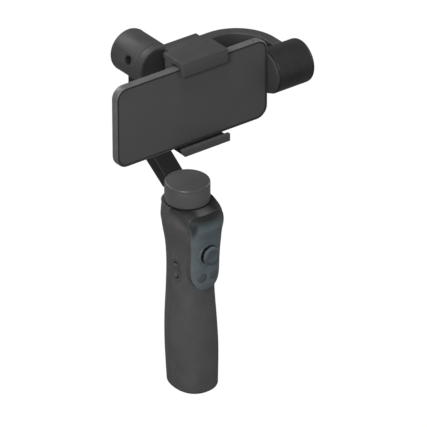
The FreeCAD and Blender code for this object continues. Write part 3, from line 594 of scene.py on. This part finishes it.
# ------------------------------------------------------------------ ribbed rubber pads
def ribbed_pad(lo, hi, along, faces_up, pitch, depth):
    """A sheet with ridges in a row along one axis, cut into the face across the last axis."""
    cross, face = [i for i in range(3) if i != along]
    ridges = max(2, int((hi[along] - lo[along]) / pitch))
    edge_lo, edge_hi = lo[cross] + 0.3, hi[cross] - 0.3
    sections = []
    for k in range(ridges * 4 + 1):
        station = lo[along] + (hi[along] - lo[along]) * k / (ridges * 4)
        cut = depth * (0.0, 0.5, 1.0, 0.5)[k % 4]
        top = hi[face] - cut if faces_up else hi[face]
        bottom = lo[face] if faces_up else lo[face] + cut
        middle = bottom * 0.5 + top * 0.5
        outline = [(edge_lo, bottom), (edge_hi, bottom), (hi[cross], middle),
                   (edge_hi, top), (edge_lo, top), (lo[cross], middle)]
        sections.append([place(along, station, u, v) for u, v in outline])
    return Solid().rings(sections)


low, high = box_mm("back_pad")
pad = ribbed_pad(low, high, along=2, faces_up=False, pitch=3.0, depth=0.14)
make("back_pad_ribbed", pad, "rubber_black", "tilt_frame", "back_pad")
low, high = box_mm("lower_jaw_pad")
high[2] -= 0.04
pad = ribbed_pad(low, high, along=0, faces_up=True, pitch=2.4, depth=0.3)
make("lower_jaw_pad_ribbed", pad, "rubber_black", "tilt_frame", "lower_jaw_pad")

# ------------------------------------------------------------------ battery cell
# a can crimped near the top, with a raised terminal
CELL = [(0, 12.0), (8.6, 12.0), (9.1, 12.5), (9.1, 72.4), (8.8, 72.8), (8.6, 73.2), (8.8, 73.6),
        (9.1, 74.0), (9.1, 76.4), (8.7, 76.9), (7.4, 77.0), (7.2, 76.7), (4.2, 76.7),
        (4.0, 77.0), (3.0, 77.2), (3.0, 78.0), (2.8, 78.2), (0, 78.2)]
make("battery_cell_wrapped", Solid().lathe(CELL, Z_AXIS, (0, -4.6, 0)), "battery_wrap",
     "handle", "battery_cell")

# ------------------------------------------------------------------ phone
PHONE_X0, PHONE_X1, PHONE_Z0, PHONE_Z1 = -85.3, 62.3, 233.0, 303.4
FRONT, BACK = -23.2, -15.9   # screen side and rear side in Y
PHONE_CORNER = 10.2
FRONT_ROUND, BACK_ROUND = 0.8, 1.9


def phone_ring(y, inset):
    outline = rounded_rect(PHONE_X0 + inset, PHONE_X1 - inset, PHONE_Z0 + inset,
                           PHONE_Z1 - inset, PHONE_CORNER - inset, 10)
    return [(x, y, z) for x, z in outline]


# (y, inset): screen bed, rounded front edge, rounded back edge
slab = [(FRONT + 0.9, 2.0), (FRONT + 0.15, 1.95), (FRONT, 1.7), (FRONT, FRONT_ROUND)]
for t in map(radians, (30, 60, 90)):
    slab.append((FRONT + FRONT_ROUND * (1 - cos(t)), FRONT_ROUND * (1 - sin(t))))
for t in map(radians, (0, 20, 40, 60, 80, 90)):
    slab.append((BACK - BACK_ROUND * (1 - sin(t)), BACK_ROUND * (1 - cos(t))))
make("phone_frame_slab", Solid().rings([phone_ring(*at) for at in slab]), "phone_frame",
     "phone", "phone_body", split=45)

screen = [(FRONT + 0.9, 2.35), (FRONT + 0.22, 2.3), (FRONT + 0.1, 2.5), (FRONT + 0.08, 2.8)]
make("phone_screen_panel", Solid().rings([phone_ring(*at) for at in screen]), "phone_glass",
     "phone", "phone_screen", split=60)

# dark line between the frame and the screen
gasket = [(FRONT - 0.03, 0.95), (FRONT + 0.6, 0.95), (FRONT + 0.6, 2.32), (FRONT - 0.03, 2.32)]
make("phone_screen_gasket", Solid().loop_rings([phone_ring(*at) for at in gasket]),
     "rubber_black", "phone", split=40)

# antenna lines across the long edges, and round onto the front
lines = Solid()
for x in (-70.0, 49.5):
    for z0, z1 in ((PHONE_Z1 - 0.5, PHONE_Z1 + 0.02), (PHONE_Z0 - 0.02, PHONE_Z0 + 0.5)):
        lines.box((x - 0.5, FRONT + 0.85, z0), (x + 0.5, BACK - 1.95, z1), 0.2, axis=1)
    for z0, z1 in ((PHONE_Z1 - 1.6, PHONE_Z1 - 0.85), (PHONE_Z0 + 0.85, PHONE_Z0 + 1.6)):
        lines.box((x - 0.5, FRONT - 0.02, z0), (x + 0.5, FRONT + 0.3, z1), 0.15, axis=1)
make("phone_antenna_lines", lines, "trim_dark", "phone")

KEY_LENGTH = 8.0
keys = Solid()
for x in (PHONE_X0 + 30.0, PHONE_X0 + 42.0):
    keys.box((x, -20.9, PHONE_Z0 - 0.5), (x + KEY_LENGTH, -18.3, PHONE_Z0 + 1.0), 1.25,
             edge=0.25)
make("phone_side_keys_pill", keys, "phone_frame", "phone", "phone_side_keys")

# camera bump on the rear, with a large and a small lens
BUMP_X, BUMP_TOP = PHONE_X0 + 7.0, PHONE_Z1 - 8.0
LARGE_LENS = (BUMP_X + 6.0, BACK, BUMP_TOP - 6.0)
SMALL_LENS = (BUMP_X + 15.0, BACK, BUMP_TOP - 6.0)
bump = Solid().box((BUMP_X, BACK - 0.6, BUMP_TOP - 12.0), (BUMP_X + 20.0, BACK + 0.8, BUMP_TOP),
                   5.0, axis=1, seg=8, edge=0.3)
bump.lathe([(4.7, 0.6), (4.7, 1.0), (4.5, 1.15), (4.1, 1.15), (3.95, 1.0), (3.95, 0.6)],
           Y_AXIS, LARGE_LENS, 64)
bump.lathe([(1.7, 0.6), (1.7, 0.9), (1.45, 0.95), (1.4, 0.6)], Y_AXIS, SMALL_LENS, 40)
make("phone_camera_bump", bump, "phone_frame", "phone", "phone_camera_island")
lenses = Solid().lathe([(0, 0.5), (3.95, 0.5), (3.95, 0.95), (3.2, 0.98), (2.6, 0.85),
                        (1.6, 0.95), (0, 1.0)], Y_AXIS, LARGE_LENS, 64)
lenses.lathe([(0, 0.5), (1.4, 0.5), (1.4, 0.88), (0, 0.92)], Y_AXIS, SMALL_LENS, 40)
make("phone_lens_stack", lenses, "lens_glass", "phone", "phone_camera_lens")

# ------------------------------------------------------------------ clamp jaws
UPPER_X0, UPPER_X1 = -25.5, 19.2
# (y, z): hooks over the phone's top edge
HOOK = [(-28.4, 297.4), (-24.7, 297.4), (-24.7, 305.4), (-14.4, 305.4), (-14.4, 298.0),
        (-5.6, 298.0), (-5.6, 305.4), (-3.2, 305.4), (-3.2, 309.6), (-28.4, 309.6)]
make("upper_jaw_hook", Solid().extrude(HOOK, 0, UPPER_X0, UPPER_X1), "clamp_plastic",
     "upper_jaw", "upper_jaw", bevel=0.7, split=30)

# ribs above and in front of the phone, each row on a thin sheet
RIBS, RIB_PITCH, RIB_WIDTH = 9, 4.4, 2.6
pad = Solid()
for k in range(RIBS):
    x = UPPER_X0 + 4.0 + k * RIB_PITCH
    pad.box((x, -24.0, 303.42), (x + RIB_WIDTH, -15.8, 305.4), 0.5, edge=0.2)
    pad.box((x, -24.7, 298.6), (x + RIB_WIDTH, -23.22, 303.0), 0.4, axis=1, edge=0.2)
x0, x1 = UPPER_X0 + 2.4, UPPER_X1 - 1.8
pad.box((x0, -24.0, 304.3), (x1, -15.8, 305.4), 0.5)
pad.box((x0, -24.72, 298.6), (x1, -24.1, 303.0), 0.4, axis=1)
make("upper_jaw_pad_ribbed", pad, "rubber_black", "upper_jaw", "upper_jaw_pad", split=40)

LOWER_X0, LOWER_X1 = -25.6, 18.8
# (x, z) outlines, slanted at the -X end
LIP = [(-28.5, 235.4), (LOWER_X1, 235.4), (LOWER_X1, 228.6), (LOWER_X0, 228.6)]
FLOOR = [(-27.3, 232.2), (LOWER_X1 - 0.2, 232.2), (LOWER_X1 - 0.2, 228.7),
         (LOWER_X0 + 0.1, 228.7)]
make("lower_jaw_lip", Solid().extrude(LIP, 1, -32.0, -28.8), "clamp_plastic", "tilt_frame",
     "lower_jaw", bevel=0.5, split=30)
make("lower_jaw_floor", Solid().extrude(FLOOR, 1, -29.0, -5.0), "clamp_plastic", "tilt_frame",
     bevel=0.5, split=30)
heel = Solid().box((-25.0, -15.6, 231.8), (17.6, -5.0, 236.0), 1.2, edge=0.4)
for k in range(4):
    x = -19.0 + 9.6 * k
    heel.box((x, -5.2, 229.4), (x + 1.6, -3.9, 235.4), 0.5, edge=0.3)
make("lower_jaw_heel", heel, "clamp_plastic", "tilt_frame")

# guide rods with a collar and chamfered ends
ROD = [(0, 248.0), (1.2, 248.0), (1.55, 248.35), (1.55, 262.2), (2.35, 262.3), (2.6, 262.5),
       (2.6, 263.3), (2.35, 263.5), (1.55, 263.5), (1.55, 307.6), (1.3, 307.9), (0, 307.9)]
rods = Solid()
for x in ROD_X:
    rods.lathe(ROD, Z_AXIS, (x, ROD_Y, 0), 40)
make("clamp_guide_rods_collared", rods, "steel", "upper_jaw", "clamp_guide_rods")

# ------------------------------------------------------------------ circuit board
board = Solid().box((-12.0, -15.6, 84.0), (12.0, -14.0, 128.0), 1.0, axis=1)
make("main_board_panel", board, "circuit_board", "handle", "main_circuit_board")
CHIPS = [((-6, -16.8, 86), (2, -15.6, 94)), ((4, -16.8, 90), (10, -15.6, 98)),
         ((-9, -14.05, 104), (-3, -12.6, 112)), ((-4, -14.05, 88), (8, -11.0, 98))]
chips = Solid()
for low, high in CHIPS:
    chips.box(low, high, 0.4, axis=1, edge=0.15)
# two rows of small parts; the -X row leans inwards
for k in range(7):
    for x, z in ((-10.6 + 0.2 * k, 99.5 + 3.4 * k), (9.4, 101.0 + 3.2 * k)):
        chips.box((x, -16.1, z), (x + 1.2, -15.55, z + 1.9), 0.1, axis=1)
make("main_board_chips", chips, "trim_dark", "handle")

# the panel's side walls take the handle's colour
panel = nodes["control_plate"].data
panel.materials.append(MATS["handle_plastic"])
panel.polygons.foreach_set("material_index", [int(abs(p.normal.y) < 0.04)
                                              for p in panel.polygons])

# ------------------------------------------------------------------ tilt motor housing
# a turned shell with a web, and a sunk seat for the port cover on its -Y side
SEAT_X0, SEAT_X1, SEAT_DEPTH = 73.6, 84.4, 1.14
SEAT_LOW, SEAT_HIGH = 0.6, 9.4   # above the tilt axis
SEAT_STEPS, REST_STEPS = 10, 110
SHELL_BORE, WEB_HOLE = 16.4, 4.5
(x0, _, _), (x1, _, top) = box_mm("tilt_motor_housing")
shell_r = top - AXIS_Z
seat_r = shell_r - SEAT_DEPTH
# (x, radius); the seat is sunk into the stretch that starts at point 3
SEAT_POINT = 3
SHELL = [(x0, SHELL_BORE), (x0, shell_r - 0.25), (x0 + 0.25, shell_r), (SEAT_X0, shell_r),
         (SEAT_X1, shell_r), (x1, shell_r), (x1, SHELL_BORE), (x0 + 3.0, SHELL_BORE),
         (x0 + 3.0, WEB_HOLE), (x0 + 1.0, WEB_HOLE), (x0 + 1.0, SHELL_BORE)]
start, stop = asin(SEAT_LOW / shell_r), asin(SEAT_HIGH / shell_r)
turns = [start + (stop - start) * k / SEAT_STEPS for k in range(SEAT_STEPS + 1)]
rest = tau - (stop - start)
turns += [stop + rest * k / REST_STEPS for k in range(1, REST_STEPS)]
shell = Solid()


def shell_point(x, radius, t):
    shell.verts.append((x, TILT_Y - radius * cos(t), AXIS_Z + radius * sin(t)))
    return len(shell.verts) - 1


grid = [[shell_point(x, radius, t) for x, radius in SHELL] for t in turns]
for j, row in enumerate(grid):
    following = grid[(j + 1) % len(grid)]
    for k in range(len(SHELL)):
        k2 = (k + 1) % len(SHELL)
        if not (k == SEAT_POINT and j < SEAT_STEPS):
            shell.faces.append((row[k], following[k], following[k2], row[k2]))
seat = [(shell_point(SEAT_X0, seat_r, t), shell_point(SEAT_X1, seat_r, t))
        for t in turns[:SEAT_STEPS + 1]]
for j in range(SEAT_STEPS):
    here, following = seat[j], seat[j + 1]
    shell.faces.append((here[0], following[0], following[1], here[1]))
    for side in (0, 1):
        rim = SEAT_POINT + side
        shell.faces.append((grid[j][rim], grid[j + 1][rim], following[side], here[side]))
for j in (0, SEAT_STEPS):
    shell.faces.append((grid[j][SEAT_POINT], grid[j][SEAT_POINT + 1], seat[j][1], seat[j][0]))
make("tilt_motor_shell_turned", shell, "arm_metal", "sliding_arm", "tilt_motor_housing")

# ------------------------------------------------------------------ CAD pieces that stay
SOFTENED = (
    "roll_arm_sleeve", "clamp_bracket", "clamp_back_plate", "roll_motor_housing",
    "pan_arm_cover", "roll_front_disc", "zoom_slider_bezel", "tilt_port_cover", "bottom_cap",
    "charging_port_cover", "charging_port", "battery_holder", "button_switches",
    "tripod_socket", "accessory_thread_insert")
for name in SOFTENED:
    obj = nodes[name]
    obj.modifiers.remove(obj.modifiers["sharp"])
    flat = obj.modifiers.new("flat", "DECIMATE")
    flat.decimate_type, flat.angle_limit = "DISSOLVE", radians(0.4)
    add_bevel(obj, width=0.00035, segments=2, degrees=38)
    keep_sharp(obj, 30)

# painted light and shade: these pieces take the lit and shaded copies of their materials
LIT_AND_SHADED = {
    "handle_plastic_front_lit_shaded": ("handle_front_shell",),
    "arm_metal_drum_lit_shadowed": ("pan_drum_wall", "pan_drum_top"),
    "arm_metal_arm_shadowed": ("pan_arm",),
    "arm_metal_tilt_shaded": ("tilt_motor_shell_turned", "tilt_motor_outer_cap"),
    "clamp_plastic_hook_lit_face": ("upper_jaw_hook",),
    "clamp_plastic_jaw_lit": ("lower_jaw_lip",),
    "clamp_plastic_recess_shaded": ("lower_jaw_floor", "lower_jaw_pad_ribbed"),
}
for tone, names in LIT_AND_SHADED.items():
    for name in names:
        mesh = (bpy.data.objects.get(name) or nodes[name]).data
        mesh.materials.clear()
        mesh.materials.append(MATS[tone])


# ------------------------------------------------------------------ stage
def floor_material():
    """The camera sees mostly an even white; all other rays see a dim card."""
    mat = bpy.data.materials.new("floor_white")
    mat.use_nodes = True
    tree = mat.node_tree
    card = tree.nodes["Principled BSDF"]
    for key, value in {"Base Color": (0.22, 0.22, 0.22, 1), "Roughness": 0.9,
                       "Specular IOR Level": 0.1, "Emission Color": (1, 1, 1, 1),
                       "Emission Strength": 0.0}.items():
        card.inputs[key].default_value = value
    coords = add_node(tree, "TexCoord", {}).outputs["Object"]
    noise = add_node(tree, "TexNoise", {"Scale": 2.0, "Vector": coords})
    relief = add_node(tree, "Bump", {"Strength": 0.01, "Height": noise.outputs["Fac"]})
    tree.links.new(relief.outputs["Normal"], card.inputs["Normal"])
    glow = add_node(tree, "Emission", {"Strength": 1.10})
    seen = add_node(tree, "LightPath", {}).outputs["Is Camera Ray"]
    share = add_node(tree, "Math", {0: seen, 1: 0.90}, operation="MULTIPLY")
    mix = add_node(tree, "MixShader", {"Fac": share.outputs[0], 1: card.outputs["BSDF"],
                                       2: glow.outputs["Emission"]})
    tree.links.new(mix.outputs["Shader"], tree.nodes["Material Output"].inputs["Surface"])
    return mat


mesh = bpy.data.meshes.new("floor")
mesh.from_pydata([(-6, -6, 0), (6, -6, 0), (6, 6, 0), (-6, 6, 0)], [], [(0, 1, 2, 3)])
floor = bpy.data.objects.new("floor", mesh)
floor.location.z = -0.0002
scene.collection.objects.link(floor)
mesh.materials.append(floor_material())

# white to the camera, dimmer as a light
world = scene.world or bpy.data.worlds.new("studio")
scene.world = world
world.use_nodes = True
tree = world.node_tree
sky = tree.nodes.get("Background") or tree.nodes.new("ShaderNodeBackground")
sky.inputs["Color"].default_value = (1, 1, 1, 1)
seen = add_node(tree, "LightPath", {}).outputs["Is Camera Ray"]
strength = add_node(tree, "MapRange", {"To Min": 0.27, "To Max": 1.0, "Value": seen})
tree.links.new(strength.outputs["Result"], sky.inputs["Strength"])

LIGHT_TARGET = Vector((0, 0, 0.2))


def area_light(name, at, size, power):
    light = bpy.data.lights.new(name, "AREA")
    light.shape = "RECTANGLE"
    light.size = light.size_y = size
    light.energy = power
    obj = bpy.data.objects.new(name, light)
    scene.collection.objects.link(obj)
    obj.location = at
    obj.rotation_mode = "QUATERNION"
    obj.rotation_quaternion = (LIGHT_TARGET - Vector(at)).to_track_quat("-Z", "Y")


area_light("key", at=(-1.35, -0.95, 1.2), size=0.45, power=30)
area_light("fill", at=(0.5, -1.7, 0.7), size=1.2, power=2.5)
area_light("top", at=(-0.3, -0.3, 2.0), size=0.6, power=14)
area_light("back", at=(-0.3, 1.5, 1.3), size=0.8, power=12)
area_light("side", at=(1.7, -0.2, 0.7), size=1.2, power=9)

# ------------------------------------------------------------------ camera
# looks towards +X +Y and down, past a point on the Z axis
HEADING, DOWN_TILT = radians(36.95), radians(30.0)   # heading is from +Y towards +X
AIM, DISTANCE = Vector((0, 0, 0.270)), 4.0
SHIFT_RIGHT, SHIFT_DOWN = 0.020870936, 0.10039803    # moves the camera across its view
ahead = Vector((sin(HEADING) * cos(DOWN_TILT), cos(HEADING) * cos(DOWN_TILT), -sin(DOWN_TILT)))
right = Vector((cos(HEADING), -sin(HEADING), 0))
up = right.cross(ahead)
eye = AIM - (ahead * DISTANCE - right * SHIFT_RIGHT + up * SHIFT_DOWN)
lens = bpy.data.cameras.new("camera")
lens.sensor_fit, lens.sensor_width = "HORIZONTAL", 36.0
lens.lens = 427.86885
lens.clip_start, lens.clip_end = 0.05, 50
camera = bpy.data.objects.new("camera", lens)
scene.collection.objects.link(camera)
camera.matrix_world = Matrix((right, up, -ahead, eye)).transposed().to_4x4() if False else Matrix((
    (right.x, up.x, -ahead.x, eye.x),
    (right.y, up.y, -ahead.y, eye.y),
    (right.z, up.z, -ahead.z, eye.z),
    (0, 0, 0, 1)))
scene.camera = camera
scene.view_settings.view_transform = "Standard"
scene.view_settings.look = "None"
